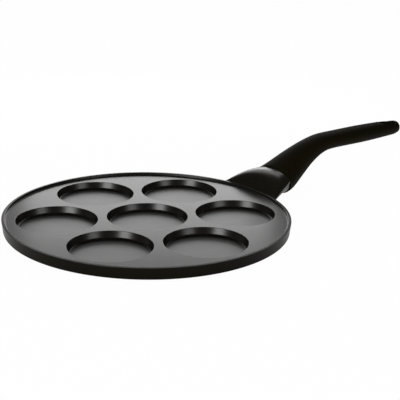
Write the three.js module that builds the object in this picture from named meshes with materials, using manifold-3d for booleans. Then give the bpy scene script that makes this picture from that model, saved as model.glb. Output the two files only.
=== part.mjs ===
// Pancake pan: a cast plate with seven shallow wells and an S-shaped handle held by one screw.
// Millimetres, +Z up. The origin is the middle of the base, on the hob, and the handle points along +X.
import * as THREE from 'three';
import { mergeVertices } from 'three/addons/utils/BufferGeometryUtils.js';
import Module from 'manifold-3d';

const wasm = await Module();
wasm.setup();

// Clearance between pieces that touch, and the play around the screw.
const fitGap = 0.3;
const screwPlay = 0.5;

// How far a cutter runs past the piece that it cuts, and the distance under which two corners are one.
const cutPast = 1;
const mergeDistance = 1e-4;

// Pan casting.
const panDiameter = 260;
const panHeight = 10.7;
const wallDraft = 1.2;
const rimWidth = 3.6;
const rimHeight = 2;
const rimSlope = 1;
const rimFall = 0.28;
const rimRounding = 0.3;
const edgeRounding = 0.8;
const baseMargin = 12;
const baseRelief = 0.3;
const floorThickness = 2.5;
const webWidth = 7.8;
const landWidth = 8.2;
const wellDraft = 2;
const wellFillet = 1.1;
const wellChamfer = 0.35;
const ringWellCount = 6;

// Lug of the casting, inside the handle: a slanted arm that ends in a level pad.
const lugWidth = 18;
const lugBite = 6;
const padSetback = 6;
const padLength = 18;
const padRise = 2.3;
const padThickness = 6.5;

// Flame guard, from the pan's wall to its seam with the grip.
const guardLength = 27;
const guardWidth = 73.6;
const guardWall = 1.8;
const guardFoot = 1.7;
const guardFootWall = 1.2;
const guardDrop = 0.9;
const guardCornerDrop = 0.8;
const guardClimb = 3.8;
const guardShoulder = 0.7;
const guardUndercut = 2.1;
const guardFullness = 0.8;
const guardWindowMargin = 3;
const guardFrontWall = 4;
const seamWidth = 49.2;
const seamHeight = 23;
const seamCentre = 14.5;
const seamCornerRise = 4.8;
const seamGap = 0.5;
const ovalPower = 2.2;

// Grip. Its centre line is an S-bend that levels out into a straight run.
const gripLength = 192;
const gripRise = 28.6;
const gripDroop = 1.4;
const bendLength = 72;
const bendStartHandle = 10.5;
const bendEndHandle = 45;
const gripLip = 0.8;
const gripEndLength = 10.4;
const gripEndSweep = 82;
const gripEndSquareness = 4;
const coverThickness = 1.6;
const hangLength = 23;
const hangWidth = 14;
const hangLining = 1.2;
const hangEndWall = 4.8;
const tenonLength = 4;

// Sections of the grip, each at a share of its length.
const gripSections = [
  { share: 0, width: seamWidth + 2 * gripLip, thickness: seamHeight + 2 * gripLip },
  { share: 0.067, width: 42.2, thickness: 27.5 },
  { share: 0.15, width: 33.9, thickness: 27 },
  { share: 0.25, width: 27.8, thickness: 22.3 },
  { share: 0.345, width: 26.9, thickness: 17.1 },
  { share: 0.49, width: 27.2, thickness: 16 },
  { share: 0.67, width: 27, thickness: 16.6 },
  { share: 0.855, width: 24.2, thickness: 15.5 },
  { share: 1, width: 21, thickness: 13.2 },
];

// Screw, its thread insert and its washers.
const screwDiameter = 5;
const screwReach = 14;
const screwHeadDiameter = 9.4;
const screwHeadHeight = 3;
const screwHeadFlat = 4.7;
const screwHeadSkirt = 1;
const screwEndInset = 0.6;
const crossWidth = 1.3;
const crossLength = 5.2;
const crossDepth = 1.7;
const insertWall = 0.9;
const washerDiameter = 10;
const flatWasherThickness = 1;
const springWasherDiameter = 9;
const springWasherThickness = 1.2;
const springWasherSplit = 20;
const ledgeThickness = 2.4;
const recessPlay = 0.6;

// Facets, and how closely the grip's size is looked up along its length.
const panFacets = 80;
const wellFacets = 32;
const sectionFacets = 24;
const smallFacets = 20;
const arcSteps = 3;
const gripRings = 20;
const endRings = 5;
const guardRings = 9;
const hoodFacets = 16;
const hullFacets = 18;
const sizeTolerance = 1e-6;

// Sizes that follow from the ones above.
const panRadius = panDiameter / 2;
const footRadius = panRadius - wallDraft;
const baseRadius = footRadius - baseMargin;
const rimInnerRadius = panRadius - rimWidth;
const plateTop = panHeight - rimHeight;
const wellRadius = (rimInnerRadius - landWidth - webWidth) / 3;
const wellRing = 2 * wellRadius + webWidth;
const seamX = panRadius + guardLength;
const guardCrown = panHeight - guardDrop;
const guardCorner = guardCrown - guardCornerDrop;
const lugRootLow = guardFoot + guardFootWall + fitGap;
const lugRootHigh = guardCrown - guardWall - fitGap;
const padStart = seamX + padSetback;
const lugEnd = padStart + padLength;
const padLow = seamCentre + padRise;
const padHigh = padLow + padThickness;
const screwX = seamX + screwReach;
const screwRadius = screwDiameter / 2;
const insertBore = screwRadius + fitGap;
const insertRadius = insertBore + insertWall;
const seatHeight = padLow - fitGap - ledgeThickness;
const flatWasherTop = seatHeight - fitGap;
const springWasherTop = flatWasherTop - flatWasherThickness - fitGap;
const screwHeadTop = springWasherTop - springWasherThickness - fitGap;
const recessRadius = washerDiameter / 2 + recessPlay;

/** Radius of the pan's drafted wall at a height. */
function wallRadius(height) {
  return footRadius + wallDraft * height / panHeight;
}

/** Closed solid of a geometry, with shared corners merged and flat slivers dropped. */
function solidOf(geometry) {
  const bare = new THREE.BufferGeometry();
  bare.setAttribute('position', geometry.getAttribute('position'));
  bare.setIndex(geometry.getIndex());
  const merged = mergeVertices(bare, mergeDistance);
  const corners = merged.getIndex().array;
  const triangles = [];
  for (let i = 0; i < corners.length; i += 3) {
    const [a, b, c] = [corners[i], corners[i + 1], corners[i + 2]];
    if (a !== b && b !== c && c !== a) {
      triangles.push(a, b, c);
    }
  }
  return new wasm.Manifold(new wasm.Mesh({
    numProp: 3,
    vertProperties: new Float32Array(merged.getAttribute('position').array),
    triVerts: new Uint32Array(triangles),
  }));
}

/** Mesh geometry of a solid. */
function geometryOf(solid) {
  const mesh = solid.getMesh();
  const geometry = new THREE.BufferGeometry();
  geometry.setAttribute('position', new THREE.BufferAttribute(mesh.vertProperties, 3));
  geometry.setIndex(new THREE.BufferAttribute(mesh.triVerts, 1));
  return geometry.toNonIndexed();
}

/** Solid turned about the vertical axis, from a profile that runs from the axis out, up and back. */
function turned(points, facets) {
  const geometry = new THREE.LatheGeometry(points, facets);
  geometry.rotateX(Math.PI / 2);
  return solidOf(geometry);
}

/** Solid of a flat outline in X and Y, from one height to another. */
function upright(shape, low, high) {
  const geometry = new THREE.ExtrudeGeometry(shape, {
    depth: high - low,
    bevelEnabled: false,
    curveSegments: smallFacets / 2,
  });
  geometry.translate(0, 0, low);
  return solidOf(geometry);
}

/** Upright round rod at a place on the X axis. */
function rod(x, radius, low, high) {
  const geometry = new THREE.CylinderGeometry(radius, radius, high - low, smallFacets);
  geometry.rotateX(Math.PI / 2);
  geometry.translate(x, 0, (low + high) / 2);
  return solidOf(geometry);
}

/** Solid through a row of rings that run towards +X, each closed and with as many points. */
function loft(rings) {
  const count = rings[0].length;
  const positions = [];
  const triangles = [];
  for (const ring of rings) {
    for (const point of ring) {
      positions.push(point.x, point.y, point.z);
    }
  }
  for (let row = 0; row + 1 < rings.length; row += 1) {
    for (let i = 0; i < count; i += 1) {
      const here = row * count + i;
      const beside = row * count + (i + 1) % count;
      triangles.push(here, here + count, beside, beside, here + count, beside + count);
    }
  }
  const last = (rings.length - 1) * count;
  for (const [first, turn] of [[0, 1], [last, -1]]) {
    const ring = rings[first / count];
    const middle = ring.reduce((sum, point) => sum.add(point), new THREE.Vector3()).divideScalar(count);
    const hub = positions.length / 3;
    positions.push(middle.x, middle.y, middle.z);
    for (let i = 0; i < count; i += 1) {
      const a = first + i;
      const b = first + (i + 1) % count;
      triangles.push(hub, turn > 0 ? a : b, turn > 0 ? b : a);
    }
  }
  const geometry = new THREE.BufferGeometry();
  geometry.setAttribute('position', new THREE.Float32BufferAttribute(positions, 3));
  geometry.setIndex(triangles);
  return solidOf(geometry);
}

/** Sine or cosine bent towards a fuller oval. */
function fuller(value) {
  return Math.sign(value) * Math.abs(value) ** (2 / ovalPower);
}

/** Ring of an oval section whose middle and upward direction are given. */
function ovalRing(middle, up, halfWidth, halfHeight) {
  const ring = [];
  for (let i = 0; i < sectionFacets; i += 1) {
    const angle = 2 * Math.PI * i / sectionFacets;
    const point = middle.clone().addScaledVector(up, halfHeight * fuller(Math.cos(angle)));
    point.y += halfWidth * fuller(Math.sin(angle));
    ring.push(point);
  }
  return ring;
}

/** Lug of the casting, grown all round by a clearance. */
function lug(clearance) {
  const shape = new THREE.Shape([
    new THREE.Vector2(panRadius - lugBite, lugRootLow - clearance),
    new THREE.Vector2(panRadius, lugRootLow - clearance),
    new THREE.Vector2(padStart, padLow - clearance),
    new THREE.Vector2(lugEnd + clearance, padLow - clearance),
    new THREE.Vector2(lugEnd + clearance, padHigh + clearance),
    new THREE.Vector2(padStart, padHigh + clearance),
    new THREE.Vector2(panRadius, lugRootHigh + clearance),
    new THREE.Vector2(panRadius - lugBite, lugRootHigh + clearance),
  ]);
  const width = lugWidth + 2 * clearance;
  const geometry = new THREE.ExtrudeGeometry(shape, { depth: width, bevelEnabled: false });
  geometry.rotateX(Math.PI / 2);
  geometry.translate(0, width / 2, 0);
  return solidOf(geometry);
}

/** Cutter for one well: a dish with a filleted floor, a drafted wall and a chamfered mouth. */
function wellCutter() {
  const floorRadius = wellRadius - wellChamfer - wellDraft;
  const wallTop = plateTop - wellChamfer;
  const wall = new THREE.Vector2(wellDraft, wallTop - floorThickness).setLength(wellFillet);
  const path = new THREE.Path();
  path.moveTo(0, floorThickness);
  path.lineTo(floorRadius - wellFillet, floorThickness);
  path.quadraticCurveTo(floorRadius, floorThickness, floorRadius + wall.x, floorThickness + wall.y);
  path.lineTo(wellRadius - wellChamfer, wallTop);
  path.lineTo(wellRadius, plateTop);
  path.lineTo(wellRadius, panHeight);
  path.lineTo(0, panHeight);
  return turned(path.getPoints(arcSteps), wellFacets);
}

/** Casting: turned base, drafted wall, low rim that falls outwards, plate with wells, and the lug. */
function panBody() {
  const footTop = baseRelief + edgeRounding;
  const rimEdge = panHeight - rimRounding;
  const crestRadius = rimInnerRadius + rimSlope;
  const rimStart = panHeight + rimFall * rimRounding / (panRadius - crestRadius);
  const path = new THREE.Path();
  path.moveTo(0, 0);
  path.lineTo(baseRadius, 0);
  path.lineTo(baseRadius + baseRelief, baseRelief);
  path.lineTo(footRadius - edgeRounding, baseRelief);
  path.quadraticCurveTo(footRadius, baseRelief, wallRadius(footTop), footTop);
  path.lineTo(wallRadius(rimEdge), rimEdge);
  path.quadraticCurveTo(panRadius, panHeight, panRadius - rimRounding, rimStart);
  path.lineTo(crestRadius, panHeight + rimFall);
  path.lineTo(rimInnerRadius, plateTop);
  path.lineTo(0, plateTop);
  let body = turned(path.getPoints(arcSteps), panFacets);
  const well = wellCutter();
  body = body.subtract(well);
  for (let i = 0; i < ringWellCount; i += 1) {
    const angle = 2 * Math.PI * (i + 0.5) / ringWellCount;
    body = body.subtract(well.translate([wellRing * Math.cos(angle), wellRing * Math.sin(angle), 0]));
  }
  const insertHole = rod(screwX, insertRadius + fitGap, padLow - cutPast, padHigh + cutPast);
  return body.add(lug(0).subtract(insertHole));
}

/** Hood and hull of the guard at the pan's wall, as points across and up, corner to corner to corner. */
function guardWallOutline() {
  const outline = [];
  const half = guardWidth / 2;
  for (let i = 0; i < hoodFacets; i += 1) {
    const angle = Math.PI * i / hoodFacets;
    outline.push([-half * Math.cos(angle), guardCorner + (guardCrown - guardCorner) * Math.sin(angle)]);
  }
  for (let i = 0; i < hullFacets; i += 1) {
    const angle = Math.PI * i / hullFacets;
    const across = Math.sign(Math.cos(angle)) * Math.abs(Math.cos(angle)) ** guardUndercut;
    const down = (guardCorner - guardFoot) * Math.sin(angle) ** guardFullness;
    outline.push([half * across, guardCorner - down]);
  }
  return outline;
}

/** The seam's oval, upright between its corners and its middle, with its points shared out in the same way. */
function guardSeamOutline() {
  const halfWidth = seamWidth / 2;
  const halfHeight = seamHeight / 2;
  const rise = seamCornerRise / halfHeight;
  const corner = Math.asin(rise ** (ovalPower / 2));
  const cornerShare = fuller(Math.cos(corner));
  const outline = [];
  const place = (angle) => {
    const up = fuller(Math.sin(angle));
    const oval = fuller(Math.cos(angle));
    const across = up > 0 ? THREE.MathUtils.clamp(oval / cornerShare, -1, 1) : oval;
    outline.push([-halfWidth * across, seamCentre + halfHeight * up]);
  };
  for (let i = 0; i < hoodFacets; i += 1) {
    place(corner + (Math.PI - 2 * corner) * i / hoodFacets);
  }
  for (let i = 0; i < hullFacets; i += 1) {
    place(Math.PI - corner + (Math.PI + 2 * corner) * i / hullFacets);
  }
  return outline;
}

/** Height of the hood's crown at a share of the way from the wall to the seam. */
function guardCrownAt(share) {
  const climb = 1 - (1 - share) ** guardClimb;
  return guardCrown + (seamCentre + seamHeight / 2 - guardCrown) * climb;
}

/** Outside of the guard: a wide hood with sharp corners that closes into the seam's oval. */
function guardOutside() {
  const start = guardWallOutline();
  const end = guardSeamOutline();
  const rings = [];
  for (let row = -1; row <= guardRings; row += 1) {
    const share = Math.max(row, 0) / guardRings;
    rings.push(start.map(([across, up], i) => {
      const hood = i < hoodFacets ? Math.sin(Math.PI * i / hoodFacets) ** guardShoulder : 0;
      const climb = share + hood * (1 - (1 - share) ** guardClimb - share);
      const wallX = Math.sqrt(panRadius ** 2 - across ** 2) - (row < 0 ? lugBite : 0);
      return new THREE.Vector3(
        wallX + (seamX - wallX) * share,
        across + (end[i][0] - across) * share,
        up + (end[i][1] - up) * climb,
      );
    }));
  }
  return loft(rings);
}

/** Hollow of the guard, which widens from the lug's window to the tenon's oval. */
function guardHollow() {
  const up = new THREE.Vector3(0, 0, 1);
  const seamHalfWidth = seamWidth / 2 - guardWall;
  const seamHalfHeight = seamHeight / 2 - guardWall;
  const startX = panRadius + guardFrontWall;
  const registerX = seamX - tenonLength - fitGap;
  const rings = [];
  for (let row = 0; row <= guardRings; row += 1) {
    const share = row / guardRings;
    const x = startX + (registerX - startX) * share;
    const along = (x - panRadius) / guardLength;
    const low = guardFoot + guardFootWall + (seamCentre - seamHalfHeight - guardFoot - guardFootWall) * share;
    const high = Math.min(guardCrownAt(along) - guardWall, seamCentre + seamHalfHeight);
    const startHalf = lugWidth / 2 + guardWindowMargin;
    const halfWidth = startHalf + (seamHalfWidth - startHalf) * share;
    rings.push(ovalRing(new THREE.Vector3(x, 0, (low + high) / 2), up, halfWidth, (high - low) / 2));
  }
  const mouth = new THREE.Vector3(seamX + cutPast, 0, seamCentre);
  rings.push(ovalRing(mouth.clone().setX(registerX + fitGap / 2), up, seamHalfWidth, seamHalfHeight));
  rings.push(ovalRing(mouth, up, seamHalfWidth, seamHalfHeight));
  return loft(rings);
}

/** Flame guard: a sleeve with a front that follows the pan's wall and a window for the lug. */
function flameGuard() {
  const below = -cutPast;
  const above = seamCentre + seamHeight;
  const wall = turned([
    new THREE.Vector2(0, below),
    new THREE.Vector2(wallRadius(below) + fitGap, below),
    new THREE.Vector2(wallRadius(above) + fitGap, above),
    new THREE.Vector2(0, above),
  ], panFacets);
  return guardOutside().subtract(wall).subtract(guardHollow()).subtract(lug(fitGap));
}

/** Centre line of the grip, from the seam to its end. */
function gripCentreLine() {
  const at = (x, z) => new THREE.Vector3(seamX + x, 0, seamCentre + z);
  const bend = new THREE.CubicBezierCurve3(
    at(seamGap, 0),
    at(seamGap + bendStartHandle, 0),
    at(seamGap + bendEndHandle, gripRise),
    at(seamGap + bendLength, gripRise),
  );
  const run = gripLength - bend.getLength();
  const line = new THREE.CurvePath();
  line.add(bend);
  line.add(new THREE.LineCurve3(
    at(seamGap + bendLength, gripRise),
    at(seamGap + bendLength + run, gripRise - gripDroop),
  ));
  return line;
}

const gripLine = gripCentreLine();
const gripTip = gripLine.getPointAt(1);
const gripSizes = new THREE.CatmullRomCurve3(
  gripSections.map(({ share, width, thickness }) => new THREE.Vector3(share * gripLength, width, thickness)),
);

/** Solid of the grip's outer shape, drawn in by an inset, and run forward past the seam by a length. */
function gripShape(inset, forward) {
  const fullLength = gripLength - inset;
  const straight = fullLength - gripEndLength;
  const rings = [];
  const addRing = (length, widthShare, thicknessShare) => {
    const middle = gripLine.getPointAt(length / gripLength);
    const ahead = gripLine.getTangentAt(length / gripLength);
    const up = new THREE.Vector3(-ahead.z, 0, ahead.x);
    const size = sizeAt(length);
    const halfWidth = (size.y / 2 - inset) * widthShare;
    rings.push(ovalRing(middle, up, halfWidth, (size.z / 2 - inset) * thicknessShare));
  };
  if (forward > 0) {
    const first = ovalRing(
      gripLine.getPointAt(0),
      new THREE.Vector3(0, 0, 1),
      gripSections[0].width / 2 - inset,
      gripSections[0].thickness / 2 - inset,
    );
    rings.push(first.map((point) => point.clone().setX(point.x - forward)));
  }
  for (let row = 0; row <= gripRings; row += 1) {
    addRing(straight * row / gripRings, 1, 1);
  }
  for (let row = 1; row <= endRings; row += 1) {
    const reach = Math.sin(THREE.MathUtils.degToRad(gripEndSweep) * row / endRings);
    const flat = (1 - reach ** gripEndSquareness) ** (1 / gripEndSquareness);
    addRing(straight + gripEndLength * reach, Math.sqrt(1 - reach ** 2), flat);
  }
  return loft(rings);
}

/** Size of the grip at a length along its centre line: the width is y and the thickness is z. */
function sizeAt(length) {
  let low = 0;
  let high = 1;
  while (high - low > sizeTolerance) {
    const middle = (low + high) / 2;
    if (gripSizes.getPoint(middle).x < length) {
      low = middle;
    } else {
      high = middle;
    }
  }
  return gripSizes.getPoint(low);
}

/** Upright slot of the hanging hole, grown all round by a margin. */
function hangSlot(margin) {
  const radius = hangWidth / 2;
  const outerX = gripTip.x - hangEndWall - radius;
  const innerX = outerX - (hangLength - hangWidth);
  const shape = new THREE.Shape();
  shape.absarc(outerX, 0, radius + margin, -Math.PI / 2, Math.PI / 2, false);
  shape.absarc(innerX, 0, radius + margin, Math.PI / 2, 3 * Math.PI / 2, false);
  return upright(shape, gripTip.z - seamHeight, gripTip.z + seamHeight);
}

/** Soft cover: a skin over the core that also lines the hanging hole. */
function gripCover() {
  const hollow = gripShape(coverThickness, tenonLength).subtract(hangSlot(hangLining));
  const recess = rod(screwX, recessRadius, 0, seatHeight);
  return gripShape(0, 0).subtract(hollow).subtract(hangSlot(0)).subtract(recess);
}

/** Stiff core: fills the cover, plugs into the guard, and takes the lug and the screw. */
function handleCore() {
  const inset = coverThickness + fitGap;
  const tenonInset = Math.max(guardWall, coverThickness) + fitGap;
  const up = new THREE.Vector3(0, 0, 1);
  const tenonAt = (x) => ovalRing(
    new THREE.Vector3(x, 0, seamCentre),
    up,
    seamWidth / 2 - tenonInset,
    seamHeight / 2 - tenonInset,
  );
  const tenon = loft([tenonAt(seamX - tenonLength), tenonAt(seamX + seamGap + fitGap)]);
  return gripShape(inset, 0)
    .add(tenon)
    .subtract(lug(fitGap))
    .subtract(hangSlot(hangLining + fitGap))
    .subtract(rod(screwX, screwRadius + screwPlay, 0, padHigh))
    .subtract(rod(screwX, recessRadius, 0, seatHeight));
}

/** Ring about the screw's axis. */
function washer(bore, radius, low, high) {
  const shape = new THREE.Shape();
  shape.absarc(screwX, 0, radius, 0, 2 * Math.PI, false);
  const hole = new THREE.Path();
  hole.absarc(screwX, 0, bore, 0, 2 * Math.PI, true);
  shape.holes.push(hole);
  return upright(shape, low, high);
}

/** Spring washer: a ring with a split in it. */
function springWasher() {
  const outer = springWasherDiameter / 2;
  const bore = screwRadius + fitGap;
  const start = THREE.MathUtils.degToRad(springWasherSplit / 2);
  const end = 2 * Math.PI - start;
  const shape = new THREE.Shape();
  shape.absarc(screwX, 0, outer, start, end, false);
  shape.absarc(screwX, 0, bore, end, start, true);
  return upright(shape, springWasherTop - springWasherThickness, springWasherTop);
}

/** Screw with a domed head, which points down and has a cross recess. */
function handleScrew() {
  const headRadius = screwHeadDiameter / 2;
  const headLow = screwHeadTop - screwHeadHeight;
  const path = new THREE.Path();
  path.moveTo(0, headLow);
  path.lineTo(screwHeadFlat / 2, headLow);
  path.quadraticCurveTo(headRadius, headLow, headRadius, screwHeadTop - screwHeadSkirt);
  path.lineTo(headRadius, screwHeadTop);
  path.lineTo(screwRadius, screwHeadTop);
  path.lineTo(screwRadius, padHigh - screwEndInset);
  path.lineTo(screwRadius - screwEndInset, padHigh);
  path.lineTo(0, padHigh);
  const blank = turned(path.getPoints(arcSteps), smallFacets).translate([screwX, 0, 0]);
  const slot = new THREE.BoxGeometry(crossLength, crossWidth, 2 * crossDepth);
  slot.translate(screwX, 0, headLow);
  const crossSlot = new THREE.BoxGeometry(crossWidth, crossLength, 2 * crossDepth);
  crossSlot.translate(screwX, 0, headLow);
  return blank.subtract(solidOf(slot)).subtract(solidOf(crossSlot));
}

const pan = new THREE.Group();

/** Adds one piece to the pan. */
function addPiece(name, solid, color, roughness, metalness) {
  const material = new THREE.MeshStandardMaterial({ color, roughness, metalness });
  const mesh = new THREE.Mesh(geometryOf(solid), material);
  mesh.name = name;
  pan.add(mesh);
}

addPiece('pan_body', panBody(), 0x4a4a4c, 0.45, 0.3);
addPiece('flame_guard', flameGuard(), 0x14120e, 0.25, 0.2);
addPiece('grip_cover', gripCover(), 0x17150f, 0.75, 0);
addPiece('handle_core', handleCore(), 0x2a2a2a, 0.6, 0);
addPiece('thread_insert', washer(insertBore, insertRadius, padLow, padHigh), 0xb8b4aa, 0.35, 1);
addPiece('handle_screw', handleScrew(), 0xa9abae, 0.3, 1);
addPiece('spring_washer', springWasher(), 0x8f9194, 0.35, 1);
addPiece(
  'flat_washer',
  washer(screwRadius + fitGap, washerDiameter / 2, flatWasherTop - flatWasherThickness, flatWasherTop),
  0xb4b6b8,
  0.3,
  1,
);

export default pan;
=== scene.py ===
"""Pancake pan with round wells: the looks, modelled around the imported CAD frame."""

import logging
import math
from collections.abc import Callable, Iterator, Sequence
from contextlib import contextmanager
from dataclasses import dataclass
from enum import Enum

import bmesh
import bpy
from mathutils import Matrix, Vector
from mathutils.geometry import interpolate_bezier


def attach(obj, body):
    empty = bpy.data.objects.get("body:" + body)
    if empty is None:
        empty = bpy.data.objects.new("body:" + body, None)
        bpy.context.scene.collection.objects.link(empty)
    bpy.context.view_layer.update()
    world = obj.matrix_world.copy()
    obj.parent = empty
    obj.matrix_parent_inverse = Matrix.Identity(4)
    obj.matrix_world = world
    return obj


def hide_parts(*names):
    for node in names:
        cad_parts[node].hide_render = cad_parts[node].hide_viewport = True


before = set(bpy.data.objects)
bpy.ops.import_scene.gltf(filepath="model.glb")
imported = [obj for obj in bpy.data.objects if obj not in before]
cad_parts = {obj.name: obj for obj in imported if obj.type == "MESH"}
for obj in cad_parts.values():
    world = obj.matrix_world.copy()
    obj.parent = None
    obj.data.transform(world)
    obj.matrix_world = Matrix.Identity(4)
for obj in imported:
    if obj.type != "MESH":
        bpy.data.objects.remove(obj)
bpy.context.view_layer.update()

log = logging.getLogger("pancake_pan")

# Sizes are in millimetres and angles in degrees where nothing else is said, and MM turns sizes to metres.
MM = 0.001
BODY = "root"

# In metres: how far apart two corners may be and still be merged, and how far one may be off a place.
WELD = 2e-6
NEAR = 1e-5

# In radians: the angle between two faces from which their edge counts as sharp.
SHARP = 1.0

# The share of a face's normal along X from which it faces ahead, and the upward shares under which a face
# looks down or is steep.
FACES_AHEAD = 0.9
FACES_DOWN = -0.5
STEEP = 0.8

WHITE = (1.0, 1.0, 1.0, 1.0)

Point = tuple[float, float]


class Element(Enum):
    """What an edit-mode selection picks."""

    VERTEX = "VERT"
    EDGE = "EDGE"
    FACE = "FACE"


class Join(Enum):
    """How a second solid changes the first."""

    CUT = "DIFFERENCE"
    FUSE = "UNION"


def linear(colour: str) -> tuple[float, float, float, float]:
    """Turns an sRGB hex colour to linear light.

    Args:
        colour: Six hex digits after a hash sign.

    Returns:
        Red, green and blue in linear light, and an alpha of one.
    """
    channels = [int(colour[i:i + 2], 16) / 255 for i in (1, 3, 5)]
    light = [c / 12.92 if c <= 0.04045 else ((c + 0.055) / 1.055) ** 2.4 for c in channels]
    return light[0], light[1], light[2], 1.0


def only(piece: bpy.types.Object) -> None:
    """Makes one object the active one and the only one selected."""
    bpy.ops.object.select_all(action="DESELECT")
    piece.select_set(True)
    bpy.context.view_layer.objects.active = piece


def start(name: str, add: Callable[..., set[str]], **settings: object) -> bpy.types.Object:
    """Adds a primitive with nothing else selected.

    Args:
        name: Name of the new object and of its mesh.
        add: Operator that adds the primitive.
        settings: Settings of that operator.

    Returns:
        The new object.
    """
    bpy.ops.object.select_all(action="DESELECT")
    add(**settings)
    piece = bpy.context.active_object
    piece.name = name
    piece.data.name = name
    return piece


@contextmanager
def editing(piece: bpy.types.Object) -> Iterator[None]:
    """Edit mode on one object, with nothing selected in it at first.

    Args:
        piece: The object to edit.
    """
    only(piece)
    bpy.ops.object.mode_set(mode="EDIT")
    bpy.ops.mesh.select_mode(type=Element.VERTEX.value)
    bpy.ops.mesh.select_all(action="DESELECT")
    yield
    bpy.ops.object.mode_set(mode="OBJECT")


def pick(piece: bpy.types.Object, element: Element, wanted: Callable[..., bool]) -> None:
    """Selects what passes a test in the mesh under edit, and nothing else.

    Args:
        piece: The object under edit.
        element: Whether vertices, edges or faces are picked.
        wanted: The test, given one vertex, edge or face.
    """
    bpy.ops.mesh.select_mode(type=element.value)
    bpy.ops.mesh.select_all(action="DESELECT")
    mesh = bmesh.from_edit_mesh(piece.data)
    rows = {Element.VERTEX: mesh.verts, Element.EDGE: mesh.edges, Element.FACE: mesh.faces}[element]
    for item in rows:
        if wanted(item):
            item.select_set(True)
    mesh.select_flush_mode()
    bmesh.update_edit_mesh(piece.data)


def close_up() -> None:
    """Merges doubled vertices of the mesh under edit and turns its faces outwards."""
    bpy.ops.mesh.select_mode(type=Element.VERTEX.value)
    bpy.ops.mesh.select_all(action="SELECT")
    bpy.ops.mesh.remove_doubles(threshold=WELD)
    bpy.ops.mesh.normals_make_consistent(inside=False)


def modify(piece: bpy.types.Object, kind: str, **settings: object) -> None:
    """Adds a modifier and applies it.

    Args:
        piece: The object to change.
        kind: Blender's type of the modifier.
        settings: Settings of the modifier.
    """
    only(piece)
    modifier = piece.modifiers.new(kind.lower(), kind)
    for key, value in settings.items():
        setattr(modifier, key, value)
    bpy.ops.object.modifier_apply(modifier=modifier.name)


def combine(piece: bpy.types.Object, other: bpy.types.Object, how: Join) -> None:
    """Cuts a solid out of another or fuses the two, and removes the second one.

    Args:
        piece: The solid that stays.
        other: The solid that is used up.
        how: Whether it cuts or fuses.
    """
    modify(piece, "BOOLEAN", object=other, operation=how.value, solver="EXACT")
    bpy.data.objects.remove(other, do_unlink=True)


def smooth(piece: bpy.types.Object, degrees: float) -> None:
    """Shades a piece smooth, with edges sharper than an angle left crisp.

    Args:
        piece: The object to shade.
        degrees: The angle between two faces from which their edge stays crisp.
    """
    only(piece)
    bpy.ops.object.shade_smooth_by_angle(angle=math.radians(degrees))
    modify(piece, "WEIGHTED_NORMAL", keep_sharp=True, weight=90)


def spun(name: str, profile: Sequence[Point], steps: int, centre: float = 0.0,
         sweep: float = 360.0) -> bpy.types.Object:
    """Draws a profile as a chain of edges and spins it about an upright axis.

    Args:
        name: Name of the piece.
        profile: Radius and height of each corner in millimetres.
        steps: Steps of the turn.
        centre: Place of the axis along X in millimetres.
        sweep: Angle of the turn in degrees, with what is left of a full turn about +X.

    Returns:
        The spun piece, closed where its profile is or where it meets the axis.
    """
    piece = start(name, bpy.ops.mesh.primitive_plane_add, size=MM)
    with editing(piece):
        bpy.ops.mesh.select_all(action="SELECT")
        bpy.ops.mesh.merge(type="CENTER")
        radius, height = profile[0]
        bpy.ops.transform.translate(value=((centre + radius) * MM, 0, height * MM))
        for (r0, z0), (r1, z1) in zip(profile, profile[1:]):
            step = ((r1 - r0) * MM, 0, (z1 - z0) * MM)
            bpy.ops.mesh.extrude_region_move(TRANSFORM_OT_translate={"value": step})
        bpy.ops.mesh.select_all(action="SELECT")
        middle = (centre * MM, 0, 0)
        bpy.ops.mesh.spin(steps=steps, angle=math.radians(sweep), center=middle, axis=(0, 0, 1))
        close_up()
        bpy.ops.transform.rotate(value=math.radians((360 - sweep) / 2), orient_axis="Z", center_override=middle)
    return piece


def drawn_out(name: str, rings: Sequence[Sequence[Vector]]) -> bpy.types.Object:
    """Extrudes a circle ring by ring, and lays each new ring on its own outline.

    Every vertex keeps the number of its column and of its row in the mesh.

    Args:
        name: Name of the piece.
        rings: Outlines in millimetres, each closed and with as many points.

    Returns:
        An open tube through the rings.
    """
    piece = start(name, bpy.ops.mesh.primitive_circle_add, vertices=len(rings[0]), radius=MM)
    with editing(piece):
        mesh = bmesh.from_edit_mesh(piece.data)
        mesh.verts.layers.int.new("column")
        mesh.verts.layers.int.new("row")
        column = mesh.verts.layers.int["column"]
        for i, vertex in enumerate(mesh.verts):
            vertex[column] = i
        bpy.ops.mesh.select_all(action="SELECT")
        for number, ring in enumerate(rings):
            if number:
                bpy.ops.mesh.extrude_region_move()
            mesh = bmesh.from_edit_mesh(piece.data)
            column = mesh.verts.layers.int["column"]
            row = mesh.verts.layers.int["row"]
            for vertex in mesh.verts:
                if vertex.select:
                    vertex.co = ring[vertex[column]] * MM
                    vertex[row] = number
            bmesh.update_edit_mesh(piece.data)
        close_up()
    return piece


def fuller(value: float, power: float) -> float:
    """Bends a sine or cosine towards a fuller oval.

    Args:
        value: The sine or cosine.
        power: Power of the oval, where 2 is an ellipse.

    Returns:
        The bent value, with the same sign.
    """
    return math.copysign(abs(value) ** (2 / power), value)


def bead(piece: bpy.types.Object, width: float, segments: int, wanted: Callable[..., bool]) -> None:
    """Rounds the edges of a piece that pass a test.

    Args:
        piece: The object to change.
        width: Width of the rounding in millimetres.
        segments: Facets across it.
        wanted: The test, given one edge.
    """
    with editing(piece):
        pick(piece, Element.EDGE, wanted)
        bpy.ops.mesh.bevel(
            offset=width * MM, segments=segments, profile=0.5, affect="EDGES", clamp_overlap=True,
        )


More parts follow.
